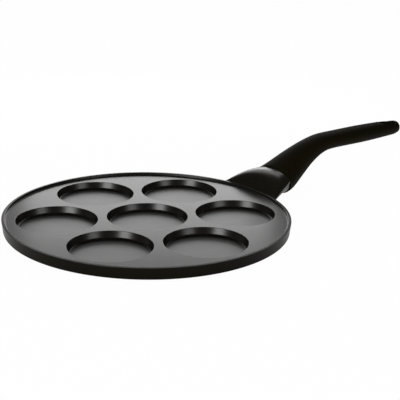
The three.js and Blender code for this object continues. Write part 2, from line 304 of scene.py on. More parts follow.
def on_ring(radius: float, height: float) -> Callable[[bmesh.types.BMEdge], bool]:
    """Makes a test for the edges of one ring about the pan's axis.

    Args:
        radius: Radius of the ring in millimetres.
        height: Height of the ring in millimetres.

    Returns:
        The test, given one edge.
    """
    return lambda edge: all(
        abs(v.co.xy.length - radius * MM) < NEAR and abs(v.co.z - height * MM) < NEAR for v in edge.verts
    )


def sharp_at(place: float, near: float = NEAR) -> Callable[[bmesh.types.BMEdge], bool]:
    """Makes a test for the sharp edges across the handle at one place.

    Args:
        place: The place along X in metres.
        near: How far off that place an edge may be.

    Returns:
        The test, given one edge.
    """
    return lambda edge: (
        all(abs(v.co.x - place) < near for v in edge.verts)
        and len(edge.link_faces) == 2 and edge.calc_face_angle(0) > SHARP
    )


def add_node(tree: bpy.types.NodeTree, kind: str, links: dict[str | int, bpy.types.NodeSocket],
             values: dict[str | int, object] | None = None, **settings: object) -> bpy.types.Node:
    """Adds a node with its settings, its socket values and its incoming links.

    Args:
        tree: The node tree.
        kind: Blender's type of the node.
        links: Input name or number to the socket that feeds it.
        values: Input name or number to its value.
        settings: Settings of the node itself.

    Returns:
        The new node.
    """
    node = tree.nodes.new(kind)
    for key, value in settings.items():
        setattr(node, key, value)
    for key, value in (values or {}).items():
        node.inputs[key].default_value = value
    for key, socket in links.items():
        tree.links.new(socket, node.inputs[key])
    return node


@dataclass(frozen=True)
class Finish:
    """A surface as it was made: two shades, their mottling, gloss and relief, in real sizes.

    The shade wanders between two colours in patches of mottle_mm, the roughness between two values
    in the same patches, and a relief of grain_mm stands grain_depth_mm high.
    """

    name: str
    shade: str
    other_shade: str
    mottle_mm: float
    roughness: float
    other_roughness: float
    grain_mm: float
    grain_depth_mm: float
    grain_strength: float = 0.2
    metallic: float = 0.0
    ior: float = 1.5
    specular: float = 0.5

    def material(self) -> bpy.types.Material:
        """Builds the material once and finds it again later.

        Returns:
            The material with this finish's name.
        """
        found = bpy.data.materials.get(self.name)
        if found:
            return found
        made = bpy.data.materials.new(self.name)
        made.use_nodes = True
        tree = made.node_tree
        shader = tree.nodes["Principled BSDF"]
        shader.inputs["Metallic"].default_value = self.metallic
        shader.inputs["IOR"].default_value = self.ior
        shader.inputs["Specular IOR Level"].default_value = self.specular
        where = add_node(tree, "ShaderNodeTexCoord", {}).outputs["Object"]
        patches = add_node(
            tree, "ShaderNodeTexNoise", {"Vector": where},
            {"Scale": 1 / (self.mottle_mm * MM), "Detail": 3.0},
        ).outputs["Fac"]
        # A colour mix has its two colours in inputs 6 and 7, and its result in output 2.
        shades = add_node(
            tree, "ShaderNodeMix", {"Factor": patches}, {6: linear(self.shade), 7: linear(self.other_shade)},
            data_type="RGBA",
        )
        tree.links.new(shades.outputs[2], shader.inputs["Base Color"])
        gloss = add_node(
            tree, "ShaderNodeMapRange", {"Value": patches},
            {"To Min": self.roughness, "To Max": self.other_roughness},
        )
        tree.links.new(gloss.outputs["Result"], shader.inputs["Roughness"])
        relief = add_node(
            tree, "ShaderNodeBump", {"Height": self.relief(tree, where)},
            {"Strength": self.grain_strength, "Distance": self.grain_depth_mm * MM},
        )
        tree.links.new(relief.outputs["Normal"], shader.inputs["Normal"])
        return made

    def relief(self, tree: bpy.types.NodeTree, where: bpy.types.NodeSocket) -> bpy.types.NodeSocket:
        """Height of the surface's grain.

        Args:
            tree: The material's node tree.
            where: Place on the piece.

        Returns:
            The socket with the height.
        """
        return add_node(
            tree, "ShaderNodeTexNoise", {"Vector": where},
            {"Scale": 1 / (self.grain_mm * MM), "Detail": 2.0},
        ).outputs["Fac"]

    def dress(self, piece: bpy.types.Object) -> None:
        """Gives a piece this finish all over.

        Args:
            piece: The object to dress.
        """
        piece.data.materials.clear()
        piece.data.materials.append(self.material())


@dataclass(frozen=True)
class TurnedFinish(Finish):
    """A face cut on a lathe, with the tool's rings as its relief, grain_mm apart."""

    def relief(self, tree: bpy.types.NodeTree, where: bpy.types.NodeSocket) -> bpy.types.NodeSocket:
        """Height of the lathe tool's rings.

        Args:
            tree: The material's node tree.
            where: Place on the piece.

        Returns:
            The socket with the height.
        """
        waves_per_scale = 20 / (2 * math.pi)
        return add_node(
            tree, "ShaderNodeTexWave", {"Vector": where},
            {"Scale": 1 / (self.grain_mm * MM * waves_per_scale), "Distortion": 0.0},
            wave_type="RINGS", rings_direction="Z",
        ).outputs["Fac"]


# Sprayed and baked PTFE over cast aluminium: black in itself, grey where light glances off it.
NON_STICK = Finish(
    "sprayed_ptfe_coating", "#0d0c08", "#110f0b", mottle_mm=14.0, roughness=0.20, other_roughness=0.24,
    grain_mm=1.6, grain_depth_mm=0.01, grain_strength=0.05, ior=1.36,
)
# The same coating in the wells and on steep walls, where the spray comes down drier and rougher.
WELL_COATING = Finish(
    "ptfe_sprayed_into_wells", "#0d0c08", "#110f0b", mottle_mm=14.0, roughness=0.28, other_roughness=0.32,
    grain_mm=1.6, grain_depth_mm=0.01, grain_strength=0.05, ior=1.46,
)
# Baked black enamel on the outside: deep black that only mirrors what it meets at a slant.
OUTER_ENAMEL = Finish(
    "baked_black_enamel", "#0c0a04", "#0f0c05", mottle_mm=14.0, roughness=0.22, other_roughness=0.28,
    grain_mm=1.6, grain_depth_mm=0.01, ior=1.36, specular=0.1,
)
# Aluminium faced on a lathe: bright metal with fine rings. The rings are drawn 0.9 mm apart to show.
TURNED_BASE = TurnedFinish(
    "lathe_turned_aluminium", "#b9bbbd", "#a9abae", mottle_mm=20.0, roughness=0.30, other_roughness=0.38,
    grain_mm=0.9, grain_depth_mm=0.03, metallic=1.0,
)
# Phenolic moulded in a polished tool: warm black with a soft gloss and a faint ripple.
PHENOLIC = Finish(
    "moulded_phenolic", "#110d05", "#130f06", mottle_mm=12.0, roughness=0.22, other_roughness=0.28,
    grain_mm=2.2, grain_depth_mm=0.01, ior=1.55,
)
# Silicone rubber with a soft-touch grain: warm black that takes light only as a dull glow. The grain is drawn
# 0.9 mm wide to show.
SOFT_RUBBER = Finish(
    "soft_touch_silicone", "#100d04", "#130f05", mottle_mm=9.0, roughness=0.50, other_roughness=0.58,
    grain_mm=0.9, grain_depth_mm=0.03, ior=1.45, specular=0.04,
)
# Glass-filled nylon straight from the mould: dark and dull.
NYLON = Finish(
    "moulded_nylon", "#191919", "#1e1e1e", mottle_mm=6.0, roughness=0.50, other_roughness=0.58,
    grain_mm=1.2, grain_depth_mm=0.03, ior=1.53,
)
# Zinc-plated steel: pale, slightly uneven metal. Its crystals are drawn 0.6 mm wide to show.
ZINC = Finish(
    "zinc_plated_steel", "#a7abb0", "#b9bcc0", mottle_mm=2.5, roughness=0.26, other_roughness=0.36,
    grain_mm=0.6, grain_depth_mm=0.01, metallic=1.0,
)
# Stainless steel from a bar, as drawn: greyer and a little warm. Its marks are drawn 0.5 mm wide to show.
STAINLESS = Finish(
    "drawn_stainless_steel", "#b3afa6", "#a8a59d", mottle_mm=2.5, roughness=0.30, other_roughness=0.38,
    grain_mm=0.5, grain_depth_mm=0.01, metallic=1.0,
)


def hand_over(piece: bpy.types.Object, node: str) -> None:
    """Lets a finished piece ride on the object and stand for its CAD node.

    Args:
        piece: The finished piece.
        node: The CAD node that it stands for.
    """
    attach(piece, BODY)
    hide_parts(node)
    log.info("%s stands for %s with %d faces", piece.name, node, len(piece.data.polygons))


@dataclass
class PanCasting:
    """The casting: turned base, drafted wall, low rim, plate with wells, and the handle's lug."""

    diameter: float = 260.0
    height: float = 10.7
    wall_draft: float = 1.2
    rim_width: float = 3.6
    rim_height: float = 2.0
    rim_slope: float = 1.0
    rim_fall: float = 0.28
    edge_rounding: float = 0.8
    rim_rounding: float = 0.3
    base_margin: float = 12.0
    base_relief: float = 0.3
    floor: float = 2.5
    web: float = 7.8
    land: float = 8.2
    well_draft: float = 2.0
    well_fillet: float = 1.1
    mouth_rounding: float = 0.35
    ring_wells: int = 6
    lug_width: float = 18.0
    lug_bite: float = 6.0
    lug_low: float = 3.2
    lug_high: float = 7.7
    pad_start: float = 163.0
    pad_end: float = 181.0
    pad_low: float = 16.8
    pad_high: float = 23.3
    pad_rounding: float = 3.0
    insert_at: float = 171.0
    insert_hole: float = 4.0
    cut_past: float = 2.0
    hole_past: float = 1.0
    turn_steps: int = 240
    well_steps: int = 144
    hole_steps: int = 48
    foot_facets: int = 4
    rim_facets: int = 3
    fillet_facets: int = 8
    pad_facets: int = 6
    mouth_corners: int = 7
    mouth_step: float = 14.0
    crisp_angle: float = 32.0

    @property
    def radius(self) -> float:
        """Radius over the rim."""
        return self.diameter / 2

    @property
    def foot(self) -> float:
        """Radius of the wall at the base."""
        return self.radius - self.wall_draft

    @property
    def plate(self) -> float:
        """Height of the plate between the wells."""
        return self.height - self.rim_height

    @property
    def well(self) -> float:
        """Radius of a well's mouth."""
        return (self.radius - self.rim_width - self.land - self.web) / 3

    def wall_at(self, height: float) -> float:
        """Radius of the drafted wall at a height."""
        return self.foot + self.wall_draft * height / self.height

    def plain(self) -> bpy.types.Object:
        """Turns the casting without its wells and rounds its edges.

        Returns:
            The turned solid.
        """
        base = self.foot - self.base_margin
        inner = self.radius - self.rim_width
        crest = self.height + self.rim_fall
        body = spun("pan_casting", [
            (0, 0), (base, 0), (base + self.base_relief, self.base_relief), (self.foot, self.base_relief),
            (self.radius, self.height), (inner + self.rim_slope, crest), (inner, self.plate), (0, self.plate),
        ], self.turn_steps)
        bead(body, self.edge_rounding, self.foot_facets, on_ring(self.foot, self.base_relief))
        for radius, height in ((self.radius, self.height), (inner + self.rim_slope, crest), (inner, self.plate)):
            bead(body, self.rim_rounding, self.rim_facets, on_ring(radius, height))
        return body

    def well_cutter(self) -> bpy.types.Object:
        """Spins the shape of one well: flat floor, fillet, drafted wall and rounded mouth.

        Returns:
            The cutter, in the middle of the pan.
        """
        wall = self.well - self.mouth_rounding
        floor = wall - self.well_draft
        low = self.plate - self.mouth_rounding
        mouth = []
        for i in range(self.mouth_corners):
            angle = math.radians(self.mouth_step * i)
            mouth.append((
                self.well - self.mouth_rounding * math.cos(angle), low + self.mouth_rounding * math.sin(angle),
            ))
        cutter = spun("well_cutter", [
            (0, self.floor), (floor, self.floor), *mouth,
            (self.well + self.cut_past, self.plate + self.cut_past), (0, self.plate + self.cut_past),
        ], self.well_steps)
        bead(cutter, self.well_fillet, self.fillet_facets, on_ring(floor, self.floor))
        return cutter

    def lug(self) -> bpy.types.Object:
        """Extrudes the handle's lug from a block in the wall: a slanted arm and a level pad.

        Returns:
            The lug.
        """
        low, high = self.lug_low * MM, self.lug_high * MM
        root = (self.radius - self.lug_bite / 2) * MM
        lug = start("lug", bpy.ops.mesh.primitive_cube_add, size=1, location=(root, 0, (low + high) / 2),
                    scale=(self.lug_bite * MM, self.lug_width * MM, high - low))
        bpy.ops.object.transform_apply()
        with editing(lug):
            pick(lug, Element.FACE, lambda face: face.normal.x > FACES_AHEAD)
            pad_middle = (self.pad_low + self.pad_high) / 2 * MM
            arm = ((self.pad_start - self.radius) * MM, 0, pad_middle - (low + high) / 2)
            bpy.ops.mesh.extrude_region_move(TRANSFORM_OT_translate={"value": arm})
            grow = (self.pad_high - self.pad_low) / (self.lug_high - self.lug_low)
            middle = (self.pad_start * MM, 0, pad_middle)
            bpy.ops.transform.resize(value=(1, 1, grow), center_override=middle)
            pad = ((self.pad_end - self.pad_start) * MM, 0, 0)
            bpy.ops.mesh.extrude_region_move(TRANSFORM_OT_translate={"value": pad})
            end = self.pad_end * MM
            pick(lug, Element.EDGE, lambda edge: all(abs(v.co.x - end) < NEAR for v in edge.verts)
                 and abs(edge.verts[0].co.z - edge.verts[1].co.z) > MM)
            bpy.ops.mesh.bevel(offset=self.pad_rounding * MM, segments=self.pad_facets, affect="EDGES")
        low, high = self.pad_low - self.hole_past, self.pad_high + self.hole_past
        hole = spun("insert_hole", [
            (0, low), (self.insert_hole, low), (self.insert_hole, high), (0, high),
        ], self.hole_steps, self.insert_at)
        combine(lug, hole, Join.CUT)
        return lug

    def build(self) -> bpy.types.Object:
        """Models the whole casting and dresses it.

        Returns:
            The finished piece.
        """
        body = self.plain()
        cutter = self.well_cutter()
        ring = 2 * self.well + self.web
        spots = [(0.0, 0.0)]
        for i in range(self.ring_wells):
            angle = 2 * math.pi * (i + 0.5) / self.ring_wells
            spots.append((ring * math.cos(angle), ring * math.sin(angle)))
        for x, y in spots:
            copy = cutter.copy()
            copy.data = cutter.data.copy()
            copy.data.transform(Matrix.Translation((x * MM, y * MM, 0)))
            bpy.context.scene.collection.objects.link(copy)
            combine(body, copy, Join.CUT)
        bpy.data.objects.remove(cutter, do_unlink=True)
        combine(body, self.lug(), Join.FUSE)
        NON_STICK.dress(body)
        base = (self.foot - self.base_margin + self.base_relief) * MM
        crest = (self.radius - self.rim_width / 2) * MM
        plate = self.plate * MM

        def underneath(face: bmesh.types.BMFace) -> bool:
            """Whether a face belongs to the turned base."""
            return face.normal.z < FACES_DOWN and all(
                v.co.xy.length < base + NEAR and v.co.z < self.base_relief * MM + NEAR for v in face.verts)

        def outside(face: bmesh.types.BMFace) -> bool:
            """Whether a face is on the outer wall, round the base or on the lug."""
            middle = face.calc_center_median()
            reach = middle.xy.length
            outer_wall = middle.z < plate and reach > crest
            return not underneath(face) and (
                outer_wall or face.normal.z < FACES_DOWN or reach > self.radius * MM)

        def low_or_steep(face: bmesh.types.BMFace) -> bool:
            """Whether a face is in a well or on the inner wall of the rim."""
            middle = face.calc_center_median()
            return face.normal.z > FACES_DOWN and middle.xy.length < crest and (
                middle.z < plate - NEAR or face.normal.z < STEEP)

        areas = ((TURNED_BASE, underneath), (OUTER_ENAMEL, outside), (WELL_COATING, low_or_steep))
        for finish, _ in areas:
            body.data.materials.append(finish.material())
        with editing(body):
            for index, (_, wanted) in enumerate(areas, 1):
                pick(body, Element.FACE, wanted)
                body.active_material_index = index
                bpy.ops.object.material_slot_assign()
        smooth(body, self.crisp_angle)
        hand_over(body, "pan_body")
        return body


@dataclass
class FlameGuard:
    """The hood between the pan's wall and the grip, a sleeve with sharp sides that closes into an oval."""

    pan: PanCasting
    length: float = 27.0
    width: float = 73.6
    wall: float = 1.8
    foot: float = 1.7
    foot_wall: float = 1.2
    drop: float = 0.9
    corner_drop: float = 0.8
    climb_power: float = 3.8
    shoulder_power: float = 0.7
    undercut: float = 2.1
    fullness: float = 0.8
    seam_width: float = 49.2
    seam_height: float = 23.0
    seam_centre: float = 14.5
    seam_corner_rise: float = 4.8
    oval_power: float = 2.2
    gap: float = 0.3
    seam_rounding: float = 0.4
    hood_steps: int = 48
    hull_steps: int = 48
    rings: int = 22
    seam_facets: int = 3
    crisp_angle: float = 50.0

    @property
    def seam(self) -> float:
        """Place of the seam along X."""
        return self.pan.radius + self.length

    @property
    def crown(self) -> float:
        """Height of the hood's crown at the wall."""
        return self.pan.height - self.drop

    def wall_outline(self) -> list[Point]:
        """Hood and hull at the pan's wall, corner to corner to corner.

        Returns:
            Points across and up.
        """
        half = self.width / 2
        corner = self.crown - self.corner_drop
        outline = []
        for i in range(self.hood_steps):
            angle = math.pi * i / self.hood_steps
            outline.append((-half * math.cos(angle), corner + self.corner_drop * math.sin(angle)))
        for i in range(self.hull_steps):
            angle = math.pi * i / self.hull_steps
            across = math.copysign(abs(math.cos(angle)) ** self.undercut, math.cos(angle))
            outline.append((half * across, corner - (corner - self.foot) * math.sin(angle) ** self.fullness))
        return outline

    def seam_outline(self) -> list[Point]:
        """The oval at the seam, upright between its corners and its middle, with its points shared out alike.

        Returns:
            Points across and up.
        """
        half_width, half_height = self.seam_width / 2, self.seam_height / 2
        corner = math.asin((self.seam_corner_rise / half_height) ** (self.oval_power / 2))
        hood = [corner + (math.pi - 2 * corner) * i / self.hood_steps for i in range(self.hood_steps)]
        hull = [math.pi - corner + (math.pi + 2 * corner) * i / self.hull_steps for i in range(self.hull_steps)]
        corner_share = fuller(math.cos(corner), self.oval_power)
        outline = []
        for angle in hood + hull:
            across, up = fuller(math.cos(angle), self.oval_power), fuller(math.sin(angle), self.oval_power)
            if up > 0:
                across = max(-1.0, min(1.0, across / corner_share))
            outline.append((-half_width * across, self.seam_centre + half_height * up))
        return outline

    def outside(self, share: float) -> list[Point]:
        """Outline of the sleeve at a share of the way from the pan's wall to the seam.

        Args:
            share: Zero at the wall and one at the seam.

        Returns:
            Points across and up.
        """
        outline = []
        for i, ((across, up), (end_across, end_up)) in enumerate(zip(self.wall_outline(), self.seam_outline())):
            hood = math.sin(math.pi * i / self.hood_steps) ** self.shoulder_power if i < self.hood_steps else 0.0
            climb = share + hood * (1 - (1 - share) ** self.climb_power - share)
            outline.append((across + (end_across - across) * share, up + (end_up - up) * climb))
        return outline

    def inside(self, share: float) -> list[Point]:
        """Outline of the hollow at a share of the way, drawn in from the outside by the wall.

        Args:
            share: Zero at the wall and one at the seam.

        Returns:
            Points across and up.
        """
        outline = self.outside(share)
        half = max(across for across, _ in outline)
        top, low = max(up for _, up in outline), min(up for _, up in outline)
        middle, tall = (top + low) / 2, (top - low) / 2
        foot_wall = self.foot_wall + (self.wall - self.foot_wall) * share
        narrow = 1 - self.wall / half
        return [
            (across * narrow, middle + (up - middle) * (1 - (self.wall if up > middle else foot_wall) / tall))
            for across, up in outline
        ]

    def placed(self, outline: Sequence[Point], share: float) -> list[Vector]:
        """Sets an outline in the part, bent to the pan's wall at one end and flat at the seam.

        Args:
            outline: Points across and up.
            share: Zero at the wall and one at the seam.

        Returns:
            The points in the part's frame.
        """
        ring = []
        for across, up in outline:
            touch = math.sqrt((self.pan.wall_at(up) + self.gap) ** 2 - across ** 2)
            ring.append(Vector((touch + (self.seam - touch) * share, across, up)))
        return ring

    def build(self) -> bpy.types.Object:
        """Models the guard and dresses it.

        Returns:
            The finished piece.
        """
        shares = [row / self.rings for row in range(self.rings + 1)]
        rows = [self.placed(self.outside(share), share) for share in shares]
        rows += [self.placed(self.inside(share), share) for share in reversed(shares)]
        guard = drawn_out("guard_hood", rows)
        with editing(guard):
            pick(guard, Element.EDGE, lambda edge: edge.is_boundary)
            bpy.ops.mesh.bridge_edge_loops()
            close_up()
        bead(guard, self.seam_rounding, self.seam_facets, sharp_at(self.seam * MM))
        PHENOLIC.dress(guard)
        smooth(guard, self.crisp_angle)
        hand_over(guard, "flame_guard")
        return guard


@dataclass
class Grip:
    """The soft cover of the handle: an S-bend from the seam's oval to a rounded end with a hanging hole."""

    guard: FlameGuard
    length: float = 192.0
    rise: float = 28.6
    droop: float = 1.4
    bend: float = 72.0
    bend_start: float = 10.5
    bend_end: float = 45.0
    seam_gap: float = 0.5
    lip: float = 0.8
    end_length: float = 10.4
    end_squareness: float = 4.0
    end_fullness: float = 2.3
    end_lift: float = 0.6
    cover: float = 1.45
    front_rounding: float = 0.5
    hang_length: float = 23.0
    hang_width: float = 14.0
    hang_end_wall: float = 4.8
    hang_rounding: float = 0.45
    recess_at: float = 171.0
    recess_radius: float = 5.6
    recess_top: float = 14.1
    # Rows of the cage, as lengths from the seam. Past hole_side along X only the hole has open or sharp edges.
    rows_before_hole: tuple[float, ...] = (
        0, 4, 10, 17, 24, 31, 38, 46, 54, 63, 73, 84, 96, 110, 124, 138, 150, 159,
    )
    rows_after_hole: tuple[float, ...] = (189.4, 191.1, 191.9)
    columns: int = 20
    hole_reach: int = 2
    hole_turn: float = 31.0
    hole_side: float = 300.0
    hole_sharp: float = 0.7
    hole_cuts: int = 4
    facets: int = 3
    subdivisions: int = 2
    bend_steps: int = 400
    run_steps: int = 100
    steps_past_end: int = 10
    recess_steps: int = 64
    crisp_angle: float = 50.0

    def sections(self) -> list[tuple[float, float, float]]:
        """Share of the length, width and thickness of each section that shapes the grip."""
        return [
            (0.0, self.guard.seam_width + 2 * self.lip, self.guard.seam_height + 2 * self.lip),
            (0.067, 42.2, 27.5), (0.15, 33.9, 27.0), (0.25, 27.8, 22.3), (0.345, 26.9, 17.1),
            (0.49, 27.2, 16.0), (0.67, 27.0, 16.6), (0.855, 24.2, 15.5), (1.0, 21.0, 13.2),
        ]

    def size_at(self, along: float) -> Point:
        """Width and thickness at a length along the centre line, on a smooth curve through the sections.

        Args:
            along: Length from the seam in millimetres.

        Returns:
            The width and the thickness.
        """
        table = [(share * self.length, width, thickness) for share, width, thickness in self.sections()]
        last = len(table) - 1
        i = max(k for k in range(last) if table[k][0] <= max(along, 0.0))

        def slope(k: int, column: int) -> float:
            """Slope of one size at a section, from its neighbours."""
            before, after = table[max(k - 1, 0)], table[min(k + 1, last)]
            return (after[column] - before[column]) / (after[0] - before[0])

        span = table[i + 1][0] - table[i][0]
        t = (along - table[i][0]) / span
        sizes = []
        for column in (1, 2):
            p0, p1 = table[i][column], table[i + 1][column]
            m0, m1 = slope(i, column) * span, slope(i + 1, column) * span
            sizes.append((2 * t ** 3 - 3 * t ** 2 + 1) * p0 + (t ** 3 - 2 * t ** 2 + t) * m0
                         + (3 * t ** 2 - 2 * t ** 3) * p1 + (t ** 3 - t ** 2) * m1)
        return sizes[0], sizes[1]

    def centre_line(self) -> list[Vector]:
        """Points of the centre line, close together, from the seam to past the end."""
        x0, z0 = self.guard.seam + self.seam_gap, self.guard.seam_centre
        bend = interpolate_bezier(
            Vector((x0, 0, z0)), Vector((x0 + self.bend_start, 0, z0)),
            Vector((x0 + self.bend_end, 0, z0 + self.rise)), Vector((x0 + self.bend, 0, z0 + self.rise)),
            self.bend_steps,
        )
        done = sum((b - a).length for a, b in zip(bend, bend[1:]))
        run = self.length - done
        ahead = Vector((run, 0, -self.droop)).normalized()
        steps = range(1, self.run_steps + self.steps_past_end + 1)
        return bend + [bend[-1] + ahead * run * i / self.run_steps for i in steps]

    def place_at(self, along: float) -> tuple[Vector, Vector]:
        """Middle of the section at a length along the centre line, and its upward direction.

        Args:
            along: Length from the seam in millimetres.

        Returns:
            The middle and the upward direction.
        """
        line = self.centre_line()
        done = 0.0
        for a, b in zip(line, line[1:]):
            step = (b - a).length
            if done + step >= along:
                break
            done += step
        ahead = (b - a).normalized()
        return a + ahead * (along - done), Vector((-ahead.z, 0, ahead.x))

    def end_shares(self, along: float) -> Point:
        """Shares of the width and the thickness that are left in the rounded end."""
        reach = max(0.0, (along - self.length + self.end_length) / self.end_length)
        reach = min(reach, 1.0)
        return tuple((1 - reach ** power) ** (1 / power) for power in (self.end_fullness, self.end_squareness))

    def half_sizes(self, along: float) -> Point:
        """Half the width and half the thickness at a length, rounded end included."""
        width, thickness = self.size_at(min(along, self.length))
        wide, thick = self.end_shares(along)
        return width / 2 * wide, thickness / 2 * thick

    def outline(self, along: float) -> list[Vector]:
        """Outline of the cage at a length along the centre line.

        The cage is larger than the skin by what subdividing a ring of this many columns draws it in.

        Args:
            along: Length from the seam in millimetres.

        Returns:
            Points of the ring, from the top round by +Y.
        """
        middle, up = self.place_at(along)
        half_width, half_height = self.half_sizes(along)
        middle = middle + up * self.end_lift * (self.size_at(min(along, self.length))[1] / 2 - half_height)
        drawn_in = (2 + math.cos(2 * math.pi / self.columns)) / 3
        power = self.guard.oval_power
        ring = []
        for i in range(self.columns):
            angle = 2 * math.pi * i / self.columns
            point = middle + up * (half_height / drawn_in * fuller(math.cos(angle), power))
            point.y += half_width / drawn_in * fuller(math.sin(angle), power)
            ring.append(point)
        return ring

    def build(self) -> bpy.types.Object:
        """Models the cover and dresses it.

        Returns:
            The finished piece.
        """
        tip, _ = self.place_at(self.length)
        half = self.hang_length / 2
        centre_x = tip.x - self.hang_end_wall - half
        straight = (self.hang_length - self.hang_width) / 2
        hole_at = self.length - self.hang_end_wall - half
        hole_rows = [hole_at + shift for shift in (-half, -straight, 0, straight, half)]
        rows = [*self.rows_before_hole, *hole_rows, *self.rows_after_hole]
        skin = drawn_out("grip_skin", [self.outline(along) for along in rows])
        first, last = len(self.rows_before_hole), len(rows) - 1
        holes = range(first, first + len(hole_rows))
        hole_side = self.hole_side * MM
        with editing(skin):
            mesh = bmesh.from_edit_mesh(skin.data)
            row = mesh.verts.layers.int["row"]
            pick(skin, Element.EDGE, lambda edge: all(v[row] == last for v in edge.verts))
            bpy.ops.mesh.fill_grid(span=self.columns // 4)
            mesh = bmesh.from_edit_mesh(skin.data)
            row, column = mesh.verts.layers.int["row"], mesh.verts.layers.int["column"]
            pick(skin, Element.FACE, lambda face: all(
                v[row] in holes and abs(self.turn_of(v[column])) <= self.hole_reach for v in face.verts))
            bpy.ops.mesh.delete(type="FACE")
            self.shape_hole(skin, hole_rows, first, centre_x, straight)
            pick(skin, Element.EDGE, lambda edge: edge.is_boundary and all(v.co.x > hole_side for v in edge.verts))
            bpy.ops.transform.edge_crease(value=1.0)
            bpy.ops.mesh.bridge_edge_loops(number_cuts=self.hole_cuts)
            close_up()
        modify(skin, "SUBSURF", levels=self.subdivisions, render_levels=self.subdivisions)
        bead(skin, self.hang_rounding, self.facets, lambda edge: (
            edge.verts[0].co.x > hole_side and edge.calc_face_angle(0) > self.hole_sharp))
        modify(skin, "SOLIDIFY", thickness=self.cover * MM, offset=-1)
        front = (self.guard.seam + self.seam_gap) * MM
        with editing(skin):
            pick(skin, Element.VERTEX, lambda vertex: vertex.co.x < front + NEAR)
            bpy.ops.transform.resize(value=(0, 1, 1), center_override=(front, 0, 0))
        bead(skin, self.front_rounding, self.facets, sharp_at(front, 2 * NEAR))
        recess = spun("screw_recess", [
            (0, 0), (self.recess_radius, 0), (self.recess_radius, self.recess_top), (0, self.recess_top),
        ], self.recess_steps, self.recess_at)
        combine(skin, recess, Join.CUT)
        for name in ("row", "column"):
            skin.data.attributes.remove(skin.data.attributes[name])
        SOFT_RUBBER.dress(skin)
        smooth(skin, self.crisp_angle)
        hand_over(skin, "grip_cover")
        return skin

    def turn_of(self, column: int) -> int:
        """How many columns a column stands away from the top or the bottom, whichever is nearer."""
        half_turn = self.columns // 2
        return (column + half_turn // 2) % half_turn - half_turn // 2

    def shape_hole(self, skin: bpy.types.Object, hole_rows: Sequence[float], first: int, centre_x: float,
                   straight: float) -> None:
        """Moves the rims of the hanging hole, on top and below, onto the slot's outline.

        Args:
            skin: The cage under edit.
            hole_rows: Lengths of the rows that bound the hole.
            first: Number of the first of those rows.
            centre_x: Middle of the slot along X in millimetres.
            straight: Half the length of the slot's straight sides.
        """
        drawn_in = (2 + math.cos(math.radians(self.hole_turn))) / 3
        side = self.hang_width / 2 / drawn_in
        shifts = (-straight, -straight, 0, straight, straight)
        ends = (-1, 0, 0, 0, 1)
        mesh = bmesh.from_edit_mesh(skin.data)
        row, column = mesh.verts.layers.int["row"], mesh.verts.layers.int["column"]
        power = self.guard.oval_power
        for vertex in mesh.verts:
            at = vertex[row] - first
            turn = abs(self.turn_of(vertex[column]))
            if not 0 <= at < len(hole_rows) or turn > self.hole_reach:
                continue
            angle = math.radians(self.hole_turn * turn if ends[at] else 90)
            x = centre_x + shifts[at] + ends[at] * side * math.cos(angle)
            y = math.copysign(side * math.sin(angle), vertex.co.y) if turn else 0.0
            middle, _ = self.place_at(hole_rows[at])
            half_width, half_height = self.half_sizes(hole_rows[at])
            crown = half_height * (1 - (abs(y) / half_width) ** power) ** (1 / power)
            below = vertex.co.z < middle.z * MM
            vertex.co = Vector((x, y, middle.z + (-crown if below else crown))) * MM
        bmesh.update_edit_mesh(skin.data)


